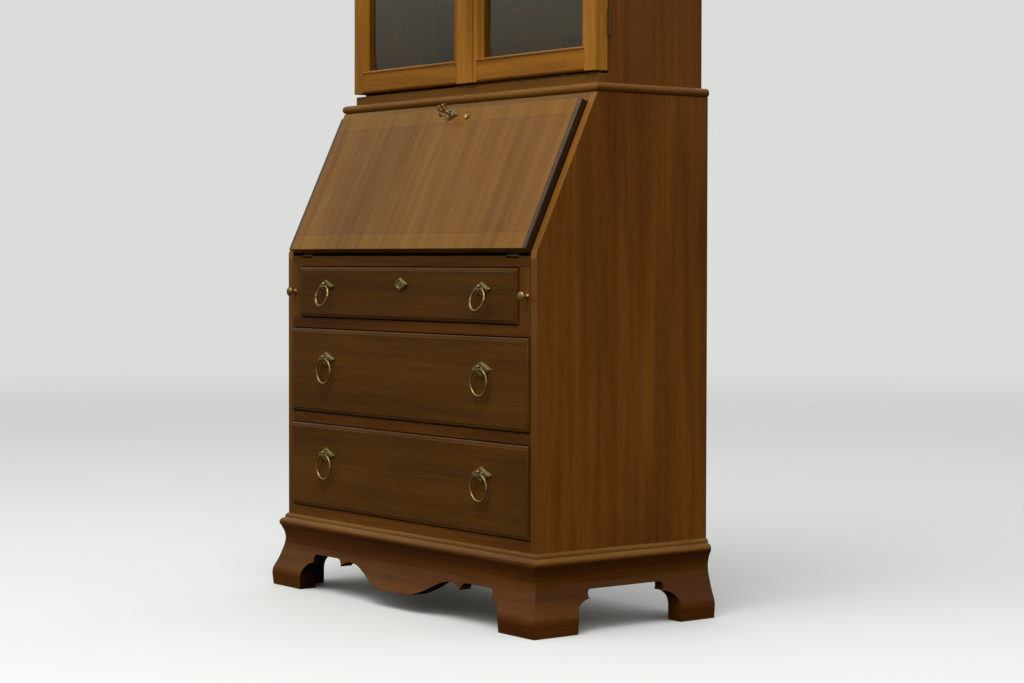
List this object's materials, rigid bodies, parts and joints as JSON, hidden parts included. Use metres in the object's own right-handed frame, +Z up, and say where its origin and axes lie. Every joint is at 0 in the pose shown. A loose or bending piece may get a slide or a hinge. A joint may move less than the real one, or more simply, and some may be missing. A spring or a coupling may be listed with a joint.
{
  "type": "secretary desk",
  "caption": "Tall secretary desk: slant-front bureau with ring-pull drawers, drop-down writing fall on pull-out lopers, shaped bracket base and a glazed two-door hutch above.",
  "frame": {"origin": "on the floor, at the middle of the footprint's bounding box", "axes": "+Z up, front of the desk towards -Y, its right side towards +X"},
  "size_m": [0.9534, 0.4658, 2.054],
  "materials": {
    "case_wood": "satin lacquered mahogany",
    "drawer_wood": "satin lacquered mahogany veneer",
    "fall_wood": "satin lacquered veneer, cross-banded",
    "door_wood": "satin lacquered mahogany",
    "inner_wood": "plain secondary wood",
    "glass": "clear bevelled plate",
    "brass": "aged",
    "steel": "dulled"
  },
  "bodies": {
    "case": {"side_left": "case_wood", "side_right": "case_wood", "bottom_board": "inner_wood", "drawer_rails": "case_wood", "dust_boards_and_runners": "inner_wood", "loper_dividers": "case_wood", "writing_board": "fall_wood", "slant_top_rail": "case_wood", "bureau_top": "case_wood", "bureau_back": "inner_wood", "base_front": "case_wood", "base_left": "case_wood", "base_right": "case_wood", "base_moulding": "case_wood", "foot_blocks": "inner_wood", "writing_gallery": "fall_wood", "hutch_sides": "case_wood", "hutch_top_bottom": "inner_wood", "hutch_back": "inner_wood", "hutch_front_rails": "case_wood", "cornice": "case_wood", "hutch_shelves": "inner_wood", "shelf_pins": "brass", "case_hinge_leaves": "brass"},
    "fall": {"fall_panel": "fall_wood", "fall_escutcheon": "brass", "fall_stud": "brass", "fall_hinge_leaves": "brass", "fall_lock": "steel"},
    "fall_key": {"fall_key": "steel"},
    "fall_lock_bolt": {"fall_lock_bolt": "steel"},
    "loper_left": {"loper_left": "case_wood", "loper_left_knob": "brass"},
    "loper_right": {"loper_right": "case_wood", "loper_right_knob": "brass"},
    "gallery_drawer_left": {"gallery_drawer_left": "fall_wood"},
    "gallery_drawer_right": {"gallery_drawer_right": "fall_wood"},
    "door_left": {"door_left_frame": "door_wood", "door_left_glass": "glass", "door_left_hinges": "brass"},
    "door_right": {"door_right_frame": "door_wood", "door_right_glass": "glass", "door_right_fittings": "brass"},
    "door_key": {"door_key": "steel"},
    "door_lock_bolt": {"door_lock_bolt": "steel"},
    "drawer_top": {"drawer_top_front": "drawer_wood", "drawer_top_box": "inner_wood", "drawer_top_plates": "brass"},
    "drawer_top_ring_left": {"drawer_top_ring_left": "brass"},
    "drawer_top_ring_right": {"drawer_top_ring_right": "brass"},
    "drawer_middle": {"drawer_middle_front": "drawer_wood", "drawer_middle_box": "inner_wood", "drawer_middle_plates": "brass"},
    "drawer_middle_ring_left": {"drawer_middle_ring_left": "brass"},
    "drawer_middle_ring_right": {"drawer_middle_ring_right": "brass"},
    "drawer_bottom": {"drawer_bottom_front": "drawer_wood", "drawer_bottom_box": "inner_wood", "drawer_bottom_plates": "brass"},
    "drawer_bottom_ring_left": {"drawer_bottom_ring_left": "brass"},
    "drawer_bottom_ring_right": {"drawer_bottom_ring_right": "brass"}
  },
  "joints": [
    {"name": "fall_hinge", "type": "hinge", "parent": "case", "child": "fall", "pos_m": [0, -0.1994, 0.73], "axis": [1, 0, 0], "range_deg": [0, 115.3]},
    {"name": "fall_key_turn", "type": "hinge", "parent": "fall", "child": "fall_key", "pos_m": [0, -0.07561, 1.01995], "axis": [0, -0.9041, 0.4274], "range_deg": [0, 180]},
    {"name": "fall_bolt_slide", "type": "slide", "parent": "fall", "child": "fall_lock_bolt", "axis": [0, 0.4274, 0.9041], "range_m": [0, 0.006]},
    {"name": "loper_left_slide", "type": "slide", "parent": "case", "child": "loper_left", "axis": [0, -1, 0], "range_m": [0, 0.28]},
    {"name": "loper_right_slide", "type": "slide", "parent": "case", "child": "loper_right", "axis": [0, -1, 0], "range_m": [0, 0.28]},
    {"name": "drawer_top_slide", "type": "slide", "parent": "case", "child": "drawer_top", "axis": [0, -1, 0], "range_m": [0, 0.36]},
    {"name": "drawer_middle_slide", "type": "slide", "parent": "case", "child": "drawer_middle", "axis": [0, -1, 0], "range_m": [0, 0.36]},
    {"name": "drawer_bottom_slide", "type": "slide", "parent": "case", "child": "drawer_bottom", "axis": [0, -1, 0], "range_m": [0, 0.36]},
    {"name": "drawer_top_ring_left_hinge", "type": "hinge", "parent": "drawer_top", "child": "drawer_top_ring_left", "pos_m": [-0.283, -0.2194, 0.6653], "axis": [-1, 0, 0], "range_deg": [-19, 70]},
    {"name": "drawer_top_ring_right_hinge", "type": "hinge", "parent": "drawer_top", "child": "drawer_top_ring_right", "pos_m": [0.283, -0.2194, 0.6653], "axis": [-1, 0, 0], "range_deg": [-19, 70]},
    {"name": "drawer_middle_ring_left_hinge", "type": "hinge", "parent": "drawer_middle", "child": "drawer_middle_ring_left", "pos_m": [-0.283, -0.2194, 0.5078], "axis": [-1, 0, 0], "range_deg": [-5, 85]},
    {"name": "drawer_middle_ring_right_hinge", "type": "hinge", "parent": "drawer_middle", "child": "drawer_middle_ring_right", "pos_m": [0.283, -0.2194, 0.5078], "axis": [-1, 0, 0], "range_deg": [-5, 85]},
    {"name": "drawer_bottom_ring_left_hinge", "type": "hinge", "parent": "drawer_bottom", "child": "drawer_bottom_ring_left", "pos_m": [-0.283, -0.2194, 0.3006], "axis": [-1, 0, 0], "range_deg": [-5, 85]},
    {"name": "drawer_bottom_ring_right_hinge", "type": "hinge", "parent": "drawer_bottom", "child": "drawer_bottom_ring_right", "pos_m": [0.283, -0.2194, 0.3006], "axis": [-1, 0, 0], "range_deg": [-5, 85]},
    {"name": "door_left_hinge", "type": "hinge", "parent": "case", "child": "door_left", "pos_m": [-0.4336, -0.0136, 1.093], "axis": [0, 0, -1], "range_deg": [0, 165]},
    {"name": "door_right_hinge", "type": "hinge", "parent": "case", "child": "door_right", "pos_m": [0.4336, -0.0136, 1.093], "axis": [0, 0, 1], "range_deg": [0, 165]},
    {"name": "door_key_turn", "type": "hinge", "parent": "door_right", "child": "door_key", "pos_m": [0.015, -0.0268, 1.51224], "axis": [0, -1, 0], "range_deg": [0, 180]},
    {"name": "door_bolt_slide", "type": "slide", "parent": "door_right", "child": "door_lock_bolt", "axis": [-1, 0, 0], "range_m": [0, 0.006]},
    {"name": "gallery_drawer_left_slide", "type": "slide", "parent": "case", "child": "gallery_drawer_left", "axis": [0, -1, 0], "range_m": [0, 0.12]},
    {"name": "gallery_drawer_right_slide", "type": "slide", "parent": "case", "child": "gallery_drawer_right", "axis": [0, -1, 0], "range_m": [0, 0.12]}
  ],
  "couplings": [
    {"joint": "fall_bolt_slide", "follows": "fall_key_turn", "m_per_rad": 0.0019099},
    {"joint": "door_bolt_slide", "follows": "door_key_turn", "m_per_rad": 0.0019099}
  ]
}
